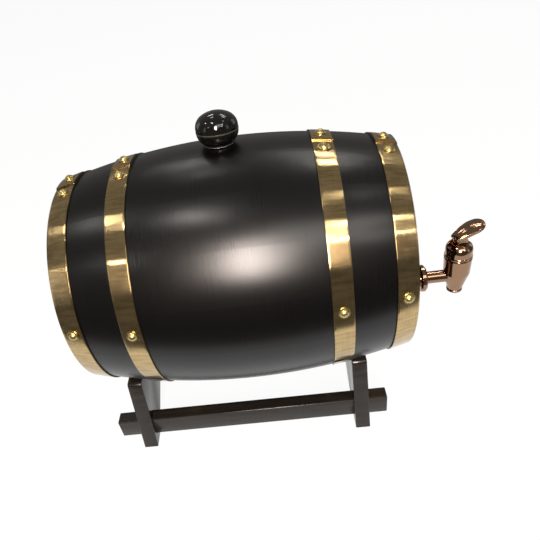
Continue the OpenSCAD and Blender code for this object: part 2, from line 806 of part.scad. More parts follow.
stave(0);  // bung_stave
for (i = [1 : stave_count - 1]) stave(i);
head_board(1, 0);  // front_head_middle
head_board(1, -1);  // front_head_left
head_board(1, 1);  // front_head_right
head_board(-1, 0);  // rear_head_middle
head_board(-1, -1);  // rear_head_left
head_board(-1, 1);  // rear_head_right
head_dowels();
hoop(half_len - end_hoop_w, half_len);  // front_end_hoop
hoop(quarter_x, quarter_x + quarter_hoop_w);  // front_quarter_hoop
hoop(-quarter_x - quarter_hoop_w, -quarter_x);  // rear_quarter_hoop
hoop(-half_len, -half_len + end_hoop_w);  // rear_end_hoop
lap_nails();
side_nails();
knob_cap();
knob_seam_ring();
knob_base();
bung_plug();
bung_sleeve();
knob_screw();
tap_body();
tap_bonnet();
outer_washer();
inner_washer();
back_nut();
valve_stem();
seat_cup();
return_spring();
tap_lever();
lever_pin();
cradle(1);  // front_cradle
cradle(-1);  // rear_cradle
rail(-1);  // near_rail
rail(1);  // far_rail
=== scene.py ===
"""Finishes, trim pieces and studio for a small oak cask on its cradle stand."""

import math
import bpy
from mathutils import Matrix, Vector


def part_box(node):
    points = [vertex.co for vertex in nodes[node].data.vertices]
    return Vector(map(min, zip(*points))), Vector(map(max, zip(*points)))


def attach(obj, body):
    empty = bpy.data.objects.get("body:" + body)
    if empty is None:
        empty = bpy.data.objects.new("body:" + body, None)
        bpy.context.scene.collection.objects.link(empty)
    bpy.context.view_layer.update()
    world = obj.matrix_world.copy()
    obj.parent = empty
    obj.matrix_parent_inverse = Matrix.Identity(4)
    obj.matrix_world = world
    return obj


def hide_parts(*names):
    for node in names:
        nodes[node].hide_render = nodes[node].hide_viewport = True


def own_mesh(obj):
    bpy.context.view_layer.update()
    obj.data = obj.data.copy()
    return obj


bl_info = {
    "name": "Cask dispenser finishes",
    "version": (1, 0, 0),
    "blender": (4, 5, 0),
    "location": "View3D > Sidebar > Cask",
    "description": "Dresses a packed cask dispenser with its finishes, trim and studio",
    "category": "Object",
}

import bmesh
import bpy
from bpy.props import FloatProperty, FloatVectorProperty, PointerProperty
from mathutils import Matrix, Vector

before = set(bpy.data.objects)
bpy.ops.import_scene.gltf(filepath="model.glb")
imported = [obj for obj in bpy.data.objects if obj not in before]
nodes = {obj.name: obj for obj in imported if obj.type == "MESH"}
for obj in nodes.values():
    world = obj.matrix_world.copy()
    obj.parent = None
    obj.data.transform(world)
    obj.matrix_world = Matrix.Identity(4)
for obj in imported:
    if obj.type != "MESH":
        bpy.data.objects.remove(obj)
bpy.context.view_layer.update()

MM = 0.001
WELD = 0.001 * MM  # vertices nearer than this become one

CASK_NODES = [n for n in nodes if n.startswith("stave_") or n == "bung_stave" or "_head_" in n]

stave_lo, stave_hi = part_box("bung_stave")
BILGE_R = (stave_hi.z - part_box("stave_08")[0].z) / 2
AXIS_Z = stave_hi.z - BILGE_R
CASK_X = (stave_lo.x + stave_hi.x) / 2
HALF_LEN = (stave_hi.x - stave_lo.x) / 2
pin_lo, pin_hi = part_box("lever_pin")
PIN = (pin_lo + pin_hi) / 2
plug_lo, plug_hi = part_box("bung_plug")
plug = (plug_lo + plug_hi) / 2
BUNG_UP = Vector((0, plug.y, plug.z - AXIS_Z)).normalized()  # along the bung's own axis
NECK_RING = (36.4 * MM, 41.9 * MM)  # the ring's faces, from the lever's pin towards the cask


def colour_prop(name, default, description):
    return FloatVectorProperty(
        name=name, default=default, description=description,
        subtype="COLOR", size=3, min=0, max=1)


def length_prop(name, default, description):
    return FloatProperty(name=name, default=default, description=description, unit="LENGTH")


def angle_prop(name, degrees, description):
    return FloatProperty(name=name, default=math.radians(degrees), description=description,
                         subtype="ANGLE")


def share_prop(name, default, description):
    return FloatProperty(name=name, default=default, description=description,
                         subtype="FACTOR", min=0, max=1)


# ---- materials


class Wire:
    """An output socket in a shader tree; arithmetic on it adds Math nodes."""

    def __init__(self, shading, socket):
        self.shading, self.socket = shading, socket

    def maths(self, operation, *values):
        return self.shading.node(
            "ShaderNodeMath", {"operation": operation}, dict(enumerate(values)))

    def __add__(self, other):
        return self.maths("ADD", self, other)

    __radd__ = __add__

    def __mul__(self, other):
        return self.maths("MULTIPLY", self, other)

    def __sub__(self, other):
        return self.maths("SUBTRACT", self, other)


class Shading:
    """The nodes of one shader tree."""

    def __init__(self, tree):
        self.tree = tree

    def fill(self, socket, value):
        if isinstance(value, Wire):
            self.tree.links.new(value.socket, socket)
        elif socket.type == "RGBA" and len(value) == 3:
            socket.default_value = (*value, 1)
        else:
            socket.default_value = value

    def node(self, kind, settings=None, sockets=None, out=0):
        made = self.tree.nodes.new(kind)
        for key, value in (settings or {}).items():
            setattr(made, key, value)
        for key, value in (sockets or {}).items():
            self.fill(made.inputs[key], value)
        return Wire(self, made.outputs[out])

    def blend(self, factor, first, second):
        return self.node("ShaderNodeMix", {"data_type": "RGBA"},
                         {0: factor, 6: first, 7: second}, 2)

    def seen(self):
        """1 on rays that show the backdrop, straight or in a reflection, and 0 on the rest."""
        return sum(self.node("ShaderNodeLightPath", out=ray) for ray in
                   ("Is Camera Ray", "Is Glossy Ray", "Is Transmission Ray"))


class Finish(Shading):
    """A material whose surface is one principled shader."""

    def __init__(self, name, **constants):
        self.material = bpy.data.materials.new(name)
        self.material.use_nodes = True
        super().__init__(self.material.node_tree)
        self.shader = self.tree.nodes["Principled BSDF"]
        for key, value in constants.items():
            self.surface(key.replace("_", " ").title().replace("Ior", "IOR"), value)

    def surface(self, socket, value):
        self.fill(self.shader.inputs[socket], value)

    def place(self):
        """X, Y and Z of the shaded point in the shared frame, in metres, before any pose."""
        where = self.node("ShaderNodeTexCoord", out="Object")
        return [self.node("ShaderNodeSeparateXYZ", {}, {0: where}, axis) for axis in "XYZ"]

    def vector(self, x, y, z):
        return self.node("ShaderNodeCombineXYZ", {}, {0: x, 1: y, 2: z})

    def noise(self, vector, scale=1.0, detail=2.0, roughness=0.5):
        return self.node("ShaderNodeTexNoise", {}, {
            "Vector": vector, "Scale": scale, "Detail": detail, "Roughness": roughness})

    def ease(self, value, low, high):
        """0 at the value low, 1 at the value high and a smooth step between them."""
        return self.node("ShaderNodeMapRange", {"interpolation_type": "SMOOTHSTEP"},
                         {0: value, 1: low, 2: high, 3: 0.0, 4: 1.0})

    def bump(self, height, depth, strength=1.0, normal=None):
        sockets = {"Height": height, "Distance": depth, "Strength": strength}
        if normal:
            sockets["Normal"] = normal
        return self.node("ShaderNodeBump", {}, sockets)


def shade(colour, share):
    """A darker or lighter colour, with no channel past 1."""
    return tuple(min(1, channel * share) for channel in colour)


def dress(finish, *names):
    """Gives CAD nodes a finish."""
    for name in names:
        materials = nodes[name].data.materials
        materials.clear()
        materials.append(finish.material)


# ---- meshes


def piece_from(name, bm, finish, body, slot, *stands_for, smooth=30, world=None):
    """Makes a named piece from a bmesh, puts it in place and rides it on its body."""
    bmesh.ops.recalc_face_normals(bm, faces=bm.faces)
    mesh = bpy.data.meshes.new(name)
    bm.to_mesh(mesh)
    bm.free()
    for face in mesh.polygons:
        face.use_smooth = True
    mesh.set_sharp_from_angle(angle=math.radians(smooth))
    mesh.materials.append(finish.material)
    piece = bpy.data.objects.new(name, mesh)
    bpy.context.scene.collection.objects.link(piece)
    if world:
        piece.matrix_world = world
    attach(piece, body)
    if stands_for:
        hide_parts(*stands_for)
    return piece


def eased_copy(node, width):
    """A CAD node's shape with its sharp edges rounded."""
    bm = bmesh.new()
    bm.from_mesh(nodes[node].data)
    bmesh.ops.remove_doubles(bm, verts=bm.verts, dist=WELD)
    bmesh.ops.dissolve_limit(bm, angle_limit=math.radians(0.5), verts=bm.verts, edges=bm.edges)
    sharp = [edge for edge in bm.edges
             if len(edge.link_faces) == 2 and edge.calc_face_angle() > math.radians(25)]
    bmesh.ops.bevel(bm, geom=sharp, offset=width, segments=3, profile=0.5,
                    affect="EDGES", clamp_overlap=True)
    return bm


# ---- sizes and colours that a user would change


class CaskLook(bpy.types.PropertyGroup):
    lacquer: colour_prop("Lacquer", (0.0010, 0.0007, 0.0006), "Colour of the satin black lacquer")
    gloss: share_prop("Roughness", 0.28, "Roughness of the satin lacquer")
    end_radius: length_prop("End radius", 84 * MM, "Radius of the cask at its ends")
    line_depth: length_prop("Turning lines", 0.012 * MM, "Depth of the fine turned lines")
    bare_oak: colour_prop("Bare oak", (0.5, 0.3, 0.14), "Colour of oak without lacquer")


class HoopLook(bpy.types.PropertyGroup):
    brass: colour_prop("Hoop brass", (0.50, 0.365, 0.18), "Colour of the polished strip")
    nail: colour_prop("Nail brass", (0.66, 0.53, 0.22), "Colour of the nails' heads")
    end_width: length_prop("End hoop width", 15.4 * MM, "Width of the two outer hoops")
    quarter_width: length_prop("Quarter hoop width", 15 * MM, "Width of the two inner hoops")
    quarter_gap: length_prop("Quarter hoop gap", 134 * MM, "Distance between the inner hoops")
    thickness: length_prop("Strip thickness", 1 * MM, "Thickness of the brass strip")
    lap_end: angle_prop("Lap end", 2, "Angle from the top to the visible end of the strip")
    lap_turn: angle_prop("Lap", 14, "Angle over which the strip lies double")


class TapLook(bpy.types.PropertyGroup):
    plating: colour_prop("Rose gold", (0.33, 0.20, 0.125), "Colour of the rose gold plating")
    ring: colour_prop("Neck ring", (0.27, 0.205, 0.12), "Colour of the ring on the tap's neck")
    turn: angle_prop("Lever turn", 16, "Turn of the lever and its slot from the cask's axis")
    lean: angle_prop("Lever lean", 65, "Lean of the shut lever, measured from upright")
    reach: length_prop("Lever reach", 14.45 * MM, "Pin to the middle of the lever's round end")
    end_radius: length_prop("Lever end", 8.9 * MM, "Radius of the lever's round end")
    root: length_prop("Lever root", -4.4 * MM, "Pin to the start of the lever's plate")
    flare: FloatProperty(name="Lever flare", default=0.24, min=0,
                         description="Widening of each side of the lever along its length")
    rise: length_prop("Lever rise", 3.56 * MM, "Pin to the lever's flat underside")
    thickness: length_prop("Lever thickness", 4.4 * MM, "Thickness at the top of the crown")
    crown: length_prop("Lever crown", 17.5 * MM, "Radius of the crown across the lever")
    bow: length_prop("Lever bow", 40 * MM, "Radius of the crown along the lever")


class KnobLook(bpy.types.PropertyGroup):
    black: colour_prop("Knob", (0.0018, 0.0018, 0.0015), "Colour of the gloss black knob")
    seam: colour_prop("Seam ring", (0.10, 0.095, 0.08), "Colour of the ring in the knob's seam")


class StandLook(bpy.types.PropertyGroup):
    lacquer: colour_prop("Stand lacquer", (0.016, 0.0125, 0.010), "Colour of the stand's lacquer")
    ease: length_prop("Eased edge", 0.9 * MM, "Radius of the boards' eased edges")


class StageLook(bpy.types.PropertyGroup):
    floor: colour_prop("Floor", (0.9, 0.9, 0.9), "Colour of the plain floor")
    light: FloatProperty(name="Light", default=1.0, min=0, description="Strength of all the lamps")


LOOKS = {"cask_look": CaskLook, "hoop_look": HoopLook, "tap_look": TapLook,
         "knob_look": KnobLook, "stand_look": StandLook, "stage_look": StageLook}


def look(name):
    return getattr(bpy.context.scene, name)


# ---- finishes


def turned_lacquer():
    """Satin black lacquer over wood turned on a lathe: fine lines round the cask."""
    cask = look("cask_look")
    lacquer = Finish("turned_lacquer", specular_ior_level=0.4)
    x, y, z = lacquer.place()
    fine = lacquer.noise(lacquer.vector(x * 2600, y * 16, z * 16), detail=3, roughness=0.6)
    broad = lacquer.noise(lacquer.vector(x * 260, y * 8, z * 8))
    cloud = lacquer.noise(lacquer.vector(x, y, z), scale=22, detail=3)
    lacquer.surface("Base Color", lacquer.blend(
        fine * 0.6 + cloud * 0.4, shade(cask.lacquer, 0.7), shade(cask.lacquer, 1.3)))
    lacquer.surface("Roughness", cask.gloss - 0.05 + fine * 0.06 + cloud * 0.05)
    lacquer.surface("Normal", lacquer.bump(fine * 0.75 + broad * 0.25, cask.line_depth))
    return lacquer


def bare_oak():
    """Oak as it is inside the cask, with its grain along Z."""
    cask = look("cask_look")
    oak = Finish("bare_oak", roughness=0.6)
    x, y, z = oak.place()
    grain = oak.noise(oak.vector(x * 60, y * 60, z * 12), detail=5, roughness=0.65)
    oak.surface("Base Color", oak.blend(
        oak.ease(grain, 0.3, 0.7), shade(cask.bare_oak, 0.6), cask.bare_oak))
    oak.surface("Normal", oak.bump(grain, 0.1 * MM, 0.5))
    return oak


def hoop_brass():
    """Polished strip with brush lines along its length, so lights spread across it, and painted
    shade on its side walls.
    """
    brass = Finish("hoop_brass", metallic=1.0, anisotropic=1.0, anisotropic_rotation=0.25)
    x, y, z = brass.place()
    brush = brass.noise(brass.vector(x * 30, y * 30, z * 4000), detail=2, roughness=0.6)
    cloud = brass.noise(brass.vector(x, y, z), scale=45, detail=3)
    bands = brass.noise(brass.vector(x * 320, y * 320, 0), detail=3, roughness=0.6)
    # the strip's local Z is the cask's axis, so its normal has a Z on the side walls only; there
    # the colour is painted darker and rougher as painted shade, a thin dark line at the hoop's
    # edges
    facing = brass.node("ShaderNodeTexCoord", out="Normal")
    along = brass.node("ShaderNodeSeparateXYZ", {}, {0: facing}, "Z")
    painted_wall_shade = brass.ease(along * along, 0.25, 0.6)
    colour = look("hoop_look").brass
    face = brass.blend(brass.ease(brush * 0.25 + cloud * 0.25 + bands * 0.5, 0.36, 0.62),
                       shade(colour, 0.72), shade(colour, 1.16))
    # painted shade: the side walls take a quarter of the brass colour
    brass.surface("Base Color", brass.blend(painted_wall_shade, face, shade(colour, 0.25)))
    brass.surface("Roughness", 0.12 + cloud * 0.05 + brush * 0.03 + painted_wall_shade * 0.3)
    brass.surface("Normal", brass.bump(brush * 0.4 + bands * 0.6, 0.004 * MM))
    return brass


def nail_brass(name, relief):
    """Brass of the nails' heads, hammered to the given share."""
    brass = Finish(name, metallic=1.0)
    x, y, z = brass.place()
    hammer = brass.noise(brass.vector(x, y, z), scale=520, detail=1)
    colour = look("hoop_look").nail
    brass.surface("Base Color", brass.blend(
        brass.ease(hammer, 0.3, 0.7), shade(colour, 0.7), colour))
    brass.surface("Roughness", 0.24 + hammer * 0.14)
    brass.surface("Normal", brass.bump(hammer, 0.7 * MM, relief))
    return brass


def rose_gold():
    """Bright copper-coloured plating; the ring on the neck is a duller olive brown."""
    plating = Finish("rose_gold", metallic=1.0)
    x, y, z = plating.place()
    cloud = plating.noise(plating.vector(x, y, z), scale=120, detail=3)
    tap = look("tap_look")
    front, back = (PIN.x - reach for reach in NECK_RING)
    fade = 0.2 * MM
    on_ring = plating.ease(x, front + fade, front) * plating.ease(x, back - fade, back)
    plating.surface("Base Color", plating.blend(
        cloud, *(plating.blend(on_ring, shade(tap.plating, share), shade(tap.ring, share))
                 for share in (0.85, 1.12))))
    plating.surface("Roughness", 0.09 + cloud * 0.08 + on_ring * 0.12)
    round_edge = plating.node("ShaderNodeBevel", {"samples": 6}, {"Radius": 0.4 * MM})
    plating.surface("Normal", plating.bump(cloud, 0.05 * MM, 0.4, round_edge))
    return plating


def knob_gloss():
    """High gloss black with a paler, rougher line round the foot's rim."""
    knob = Finish("knob_gloss", specular_ior_level=0.55)
    x, y, z = knob.place()
    haze = knob.noise(knob.vector(x, y, z), scale=150, detail=2)
    looks = look("knob_look")
    height = (y * BUNG_UP.y + z * BUNG_UP.z) - (BUNG_UP.z * AXIS_Z + BILGE_R)
    on_rim = knob.ease(height, 0.9 * MM, 0.6 * MM)
    black = knob.blend(haze, looks.black, shade(looks.black, 1.8))
    knob.surface("Base Color", knob.blend(on_rim, black, shade(looks.seam, 0.7)))
    knob.surface("Roughness", 0.06 + haze * 0.06 + on_rim * 0.3)
    return knob


def seam_metal():
    """Dull metal of the thin ring in the knob's seam."""
    ring = Finish("seam_metal", metallic=0.6)
    x, y, z = ring.place()
    wear = ring.noise(ring.vector(x, y, z), scale=300)
    seam = look("knob_look").seam
    ring.surface("Base Color", ring.blend(wear, shade(seam, 0.7), seam))
    ring.surface("Roughness", 0.25 + wear * 0.15)
    return ring


def plain_metal():
    """Brushed steel of the stem, spring and screw."""
    steel = Finish("plain_steel", metallic=1.0)
    x, y, z = steel.place()
    brush = steel.noise(steel.vector(x * 200, y * 200, z * 2000))
    steel.surface("Base Color", steel.blend(brush, (0.5, 0.5, 0.5), (0.66, 0.66, 0.66)))
    steel.surface("Roughness", 0.22 + brush * 0.12)
    return steel


def soft_rubber(name, dark, pale):
    """Matt rubber or silicone with specks between two colours."""
    rubber = Finish(name, roughness=0.6)
    x, y, z = rubber.place()
    speck = rubber.noise(rubber.vector(x, y, z), scale=900)
    rubber.surface("Base Color", rubber.blend(speck, dark, pale))
    rubber.surface("Normal", rubber.bump(speck, 0.05 * MM, 0.5))
    return rubber


def stand_lacquer():
    """Glossy dark brown lacquer with the faint waves of brushed wood under it."""
    stand = look("stand_look")
    lacquer = Finish("stand_lacquer", specular_ior_level=0.3, coat_weight=0.12,
                     coat_roughness=0.07)
    x, y, z = lacquer.place()
    grain = lacquer.noise(lacquer.vector(x * 14, y * 220, z * 220), detail=4, roughness=0.6)
    wave = lacquer.noise(lacquer.vector(x, y, z), scale=55, detail=2)
    lacquer.surface("Base Color", lacquer.blend(
        lacquer.ease(grain, 0.35, 0.7), shade(stand.lacquer, 0.55), stand.lacquer))
    lacquer.surface("Roughness", 0.2 + wave * 0.12)
    lacquer.surface("Normal", lacquer.bump(wave * 0.8 + grain * 0.2, 0.35 * MM, 0.6))
    return lacquer


# ---- pieces

HOOP_STEPS = 288  # round the cask
LAP_STEPS = 40  # along the doubled part
LAP_RAMP = math.radians(5)  # the strip climbs onto itself over this angle
HOOP_GAP = 0.05 * MM  # clearance between staves and strip
LAP_GAP = 0.02 * MM  # clearance between the strip's two layers
STRIP_STEPS = 10  # across the strip
STRIP_EDGE = 0.12 * MM  # radius of the strip's rounded edges
EDGE_STEPS = 3

LEVER_ARC_STEPS = 28
LEVER_SIDE_STEPS = 9
LEVER_ROOT_STEPS = 6
LEVER_ROUNDINGS = 2  # times that the outline's corners are cut
# loops of the lever's plate, in mm inside its outline and above its flat underside
LEVER_UNDERSIDE = [(0.4, 0.0), (0.12, 0.12), (0.0, 0.4)]
# the rounded rim and the groove beside it, in mm inside the outline and under the crown
LEVER_RIM = [(0.0, 0.5), (0.07, 0.2), (0.25, 0.04), (0.5, 0.0), (0.8, 0.0),
             (0.95, 0.1), (1.15, 0.1), (1.3, 0.0)]
# the crown inside the groove, as shares of the outline
LEVER_CROWN = [0.8 - 0.11 * k for k in range(8)]
HUB_OVERLAP = 0.02 * MM  # the hub reaches this far into the plate


def cask_radius(x):
    """Outside radius of the staves at a distance x from the bilge."""
    drop = BILGE_R - look("cask_look").end_radius
    bend = (HALF_LEN ** 2 + drop ** 2) / (2 * drop)
    return BILGE_R - bend + math.sqrt(bend ** 2 - x ** 2)


def strip_profile(x0, x1, rise, thickness):
    """Closed outline of a strip that follows the staves: pairs of x and radius."""
    def on(x, height):
        slope = (cask_radius(x + 1e-5) - cask_radius(x - 1e-5)) / 2e-5
        lean = math.atan(slope)
        return x - height * math.sin(lean), cask_radius(x) + height * math.cos(lean)
    edge = STRIP_EDGE
    inner, outer, top = x0 + edge, x1 - edge, rise + thickness
    turns = [math.pi / 2 * k / EDGE_STEPS for k in range(EDGE_STEPS + 1)]
    outline = [on(inner + (outer - inner) * i / STRIP_STEPS, top) for i in range(STRIP_STEPS + 1)]
    outline += [on(outer + edge * math.sin(turn), top - edge + edge * math.cos(turn))
                for turn in turns[1:]]
    outline += [on(x1 + (x0 - x1) * i / STRIP_STEPS, rise) for i in range(STRIP_STEPS + 1)]
    outline += [on(inner - edge * math.cos(turn), top - edge + edge * math.sin(turn))
                for turn in turns[:-1]]
    return outline


def sweep_strip(bm, profiles, angles, closed):
    """Joins one profile for each angle into a band round the local Z axis."""
    loops = []
    for profile, angle in zip(profiles, angles):
        loops.append([bm.verts.new((r * math.cos(angle), r * math.sin(angle), x))
                      for x, r in profile])
    for first, second in zip(loops, loops[1:] + loops[:1] if closed else loops[1:]):
        for i in range(len(first)):
            j = (i + 1) % len(first)
            bm.faces.new((first[i], first[j], second[j], second[i]))
    if not closed:
        bm.faces.new(loops[0][::-1])
        bm.faces.new(loops[-1])


def build_hoop(name, x0, x1, brass):
    """A closed band and, over its top, the end of the strip that lies on it."""
    hoop = look("hoop_look")
    bm = bmesh.new()
    base = strip_profile(x0, x1, HOOP_GAP, hoop.thickness)
    sweep_strip(bm, [base] * HOOP_STEPS,
                [2 * math.pi * i / HOOP_STEPS for i in range(HOOP_STEPS)], True)
    start, end = hoop.lap_end - hoop.lap_turn - LAP_RAMP, hoop.lap_end
    turns = [start + (end - start) * i / LAP_STEPS for i in range(LAP_STEPS + 1)]
    profiles = []
    for turn in turns:
        share = min(1.0, (turn - start) / LAP_RAMP)
        rise = hoop.thickness * share * share * (3 - 2 * share)
        profiles.append(strip_profile(x0 + LAP_GAP, x1 - LAP_GAP, HOOP_GAP + LAP_GAP + rise,
                                      hoop.thickness - LAP_GAP))
    sweep_strip(bm, profiles, turns, False)
    # local Z lies along the cask and local X points up, so the local angle grows towards -Y
    place = Matrix.Translation((CASK_X, 0, AXIS_Z)) @ Matrix((
        (0, 0, 1, 0), (0, -1, 0, 0), (1, 0, 0, 0), (0, 0, 0, 1)))
    piece_from(name + "_strip", bm, brass, "cask", "hoop_brass", name, world=place, smooth=35)


def lever_outline():
    """Outline of the lever's plate seen square on, as pairs of across and along."""
    tap = look("tap_look")
    turn = math.atan(tap.flare)
    r, reach = tap.end_radius, tap.reach
    side = (r * math.cos(turn), reach - r * math.sin(turn))
    root = (side[0] - tap.flare * (side[1] - tap.root), tap.root)
    right = [tuple(a + (b - a) * k / LEVER_SIDE_STEPS for a, b in zip(root, side))
             for k in range(LEVER_SIDE_STEPS)]
    arc = [(r * math.cos(t), reach + r * math.sin(t)) for t in
           (-turn + (math.pi + 2 * turn) * i / LEVER_ARC_STEPS
            for i in range(LEVER_ARC_STEPS + 1))]
    left = [(-across, along) for across, along in reversed(right)]
    base = [(root[0] * (2 * k / LEVER_ROOT_STEPS - 1), tap.root)
            for k in range(1, LEVER_ROOT_STEPS)]
    points = right + arc + left + base
    for _ in range(LEVER_ROUNDINGS):
        points = [tuple(a + (b - a) * share for a, b in zip(p, q))
                  for p, q in zip(points, points[1:] + points[:1]) for share in (0.25, 0.75)]
    return points


def lever_place():
    """From the lever's own axes, with -X its crown and Z its length, to the shared frame."""
    tap = look("tap_look")
    return (Matrix.Translation(PIN) @ Matrix.Rotation(tap.turn, 4, "Z")
            @ Matrix.Rotation(tap.lean, 4, "Y"))


def add_hub(bm):
    """Adds the CAD lever's hub, which is all of it below the plate."""
    hub = bmesh.new()
    hub.from_mesh(nodes["tap_lever"].data)
    bmesh.ops.remove_doubles(hub, verts=hub.verts, dist=WELD)
    upward = lever_place().to_3x3() @ Vector((-1, 0, 0))
    bmesh.ops.bisect_plane(hub, geom=hub.verts[:] + hub.edges[:] + hub.faces[:],
                           plane_co=PIN + upward * (look("tap_look").rise + HUB_OVERLAP),
                           plane_no=upward, clear_outer=True)
    bmesh.ops.holes_fill(hub, edges=[edge for edge in hub.edges if edge.is_boundary])
    mesh = bpy.data.meshes.new("hub")
    hub.to_mesh(mesh)
    hub.free()
    bm.from_mesh(mesh)
    bpy.data.meshes.remove(mesh)


def build_lever(plating):
    """The lever: a crowned plate with a rounded rim and a fine groove, on its hub."""
    tap = look("tap_look")
    outline = lever_outline()
    middle = (tap.root + tap.reach) / 2

    def crown(across, along):
        lost = across ** 2 / (2 * tap.crown) + (along - middle) ** 2 / (2 * tap.bow)
        return tap.thickness - lost

    bm = bmesh.new()

    def ring(inset=0.0, height=None, under=0.0, share=1.0):
        """The outline, pulled in, at a height above the underside or some way under the crown."""
        verts = []
        for across, along in outline:
            kept = share - inset / math.hypot(across, along - middle)
            across, along = across * kept, middle + (along - middle) * kept
            top = crown(across, along) - under if height is None else height
            verts.append(bm.verts.new((-tap.rise - top, across, along)))
        return verts

    rings = [ring(inset * MM, height=height * MM) for inset, height in LEVER_UNDERSIDE]
    rings += [ring(inset * MM, under=under * MM) for inset, under in LEVER_RIM]
    rings += [ring(share=share) for share in LEVER_CROWN]
    for inner, outer in zip(rings, rings[1:]):
        for i in range(len(outline)):
            j = (i + 1) % len(outline)
            bm.faces.new((inner[i], inner[j], outer[j], outer[i]))
    bm.faces.new(rings[0])
    bm.faces.new(rings[-1])
    bmesh.ops.transform(bm, matrix=lever_place(), verts=bm.verts)
    add_hub(bm)
    piece_from("lever_paddle", bm, plating, "tap_lever", "rose_gold", "tap_lever", smooth=35)


def build_spring(steel):
    """The return spring, which the opening valve presses against the bonnet."""
    bm = bmesh.new()
    bm.from_mesh(nodes["return_spring"].data)
    spring = piece_from("return_spring_coil", bm, steel, "tap_valve", "steel", "return_spring")
    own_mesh(spring)


# ---- operators


class CASK_OT_staves(bpy.types.Operator):
    """Give the staves and heads their lacquer, and the dowels and plug bare oak"""
    bl_idname = "cask.staves"
    bl_label = "Staves and heads"

    def execute(self, context):
        dress(turned_lacquer(), *CASK_NODES)
        dress(bare_oak(), "head_dowels", "bung_plug")
        return {"FINISHED"}


class CASK_OT_hoops(bpy.types.Operator):
    """Build the four brass hoops and polish their nails"""
    bl_idname = "cask.hoops"
    bl_label = "Hoops and nails"

    def execute(self, context):
        hoop = look("hoop_look")
        half_gap = hoop.quarter_gap / 2
        spans = {
            "front_end_hoop": (HALF_LEN - hoop.end_width, HALF_LEN),
            "front_quarter_hoop": (half_gap, half_gap + hoop.quarter_width),
            "rear_quarter_hoop": (-half_gap - hoop.quarter_width, -half_gap),
            "rear_end_hoop": (-HALF_LEN, -HALF_LEN + hoop.end_width)}
        brass = hoop_brass()
        for name, (x0, x1) in spans.items():
            build_hoop(name, x0, x1, brass)
        dress(nail_brass("hammered_brass", 1.0), "lap_nails")
        dress(nail_brass("domed_brass", 0.2), "side_nails")
        return {"FINISHED"}


class CASK_OT_tap(bpy.types.Operator):
    """Plate the tap and build its crowned lever and its spring"""
    bl_idname = "cask.tap"
    bl_label = "Tap and lever"

    def execute(self, context):
        plating = rose_gold()
        dress(plating, "tap_body", "tap_bonnet", "back_nut", "lever_pin")
        steel = plain_metal()
        dress(steel, "valve_stem", "knob_screw")
        build_spring(steel)
        dress(soft_rubber("black_rubber", (0.012, 0.012, 0.012), (0.03, 0.03, 0.03)),
              "outer_washer", "inner_washer")
        dress(soft_rubber("silicone", (0.62, 0.62, 0.58), (0.75, 0.75, 0.71)),
              "seat_cup", "bung_sleeve")
        build_lever(plating)
        return {"FINISHED"}


class CASK_OT_knob(bpy.types.Operator):
    """Give the bung's knob its gloss black and its seam ring"""
    bl_idname = "cask.knob"
    bl_label = "Knob"

    def execute(self, context):
        dress(knob_gloss(), "knob_cap", "knob_base")
        dress(seam_metal(), "knob_seam_ring")
        return {"FINISHED"}


class CASK_OT_stand(bpy.types.Operator):
    """Build the stand's boards and rails with eased edges"""
    bl_idname = "cask.stand"
    bl_label = "Stand"

    def execute(self, context):
        lacquer = stand_lacquer()
        for name in ("front_cradle", "rear_cradle", "near_rail", "far_rail"):
            piece_from(name + "_board", eased_copy(name, look("stand_look").ease), lacquer,
                       "stand", "stand_lacquer", name, smooth=40)
        return {"FINISHED"}


# ---- stage

WHITE = (1, 1, 1)
WORLD_GREY = (0.3, 0.3, 0.3)  # what the world gives to the object, in place of its white
FLOOR_SIZE = 12
FLOOR_GLOW = 0.94  # share of plain white in the floor that is seen; the rest takes the shadow

LAMP_AIM = Vector((-0.03, 0, 0.15))
LAMP_COLOUR = (1, 0.96, 0.9)
KEY_COLOUR = (1, 0.87, 0.79)

LAMPS = [
    # name, place above the table, size along X and Y, strength
    ("key", (-0.04, -1.25, 0.93), (0.29, 0.80), 47),
    ("key_halo", (0.32, -0.98, 1.2), (0.9, 0.55), 3.2),
    ("panel_left", (-1.2, 0.0, 1.65), (0.3, 0.1), 20),
    ("panel_middle", (-0.40, -0.40, 1.65), (0.34, 0.11), 30),
    ("panel_back", (-0.32, 0.81, 1.65), (0.24, 0.06), 13),
    ("panel_right_back", (0.52, 0.83, 1.65), (0.36, 0.07), 22),
    ("panel_right", (0.8, -0.15, 1.65), (0.25, 0.06), 14),
    ("panel_right_front", (1.05, -1.0, 1.65), (0.3, 0.1), 24),
    ("panel_far_right", (1.35, -1.7, 1.65), (0.34, 0.12), 28),
    ("panel_far_left", (-1.5, -1.5, 1.65), (0.3, 0.1), 22),
    ("strip_back_left", (-0.48, 1.45, 1.65), (0.45, 0.05), 22),
    ("strip_back_right", (0.5, 1.25, 1.65), (0.8, 0.045), 20),
]

CARD_COLOUR = (1, 0.97, 0.92)
CARDS = [
    # name, place, size, the way it faces, how bright reflections show it
    ("ceiling_card", (0, 0, 2.3), (8, 8), (0, 0, -1), 0.24),
    ("front_card", (0, -2.6, 1.15), (8, 2.3), (0, 1, 0), 0.12),
    ("left_card", (-3.4, 0, 1.15), (2.3, 8), (1, 0, 0), 0.18),
    ("right_card", (3.4, 0, 1.15), (2.3, 8), (-1, 0, 0), 0.13),
    ("back_card", (0, 3.4, 1.15), (8, 2.3), (0, -1, 0), 0.24),
    ("table_card", (0, -1.41, 0.003), (8, 2.38), (0, 0, 1), 0.12),
    ("table_card_left", (-1.95, 0, 0.004), (2.9, 8), (0, 0, 1), 0.14),
    ("table_card_right", (1.98, 0, 0.005), (2.9, 8), (0, 0, 1), 0.14),
    ("table_card_back", (0, 1.9, 0.006), (8, 3.0), (0, 0, 1), 0.14),
]

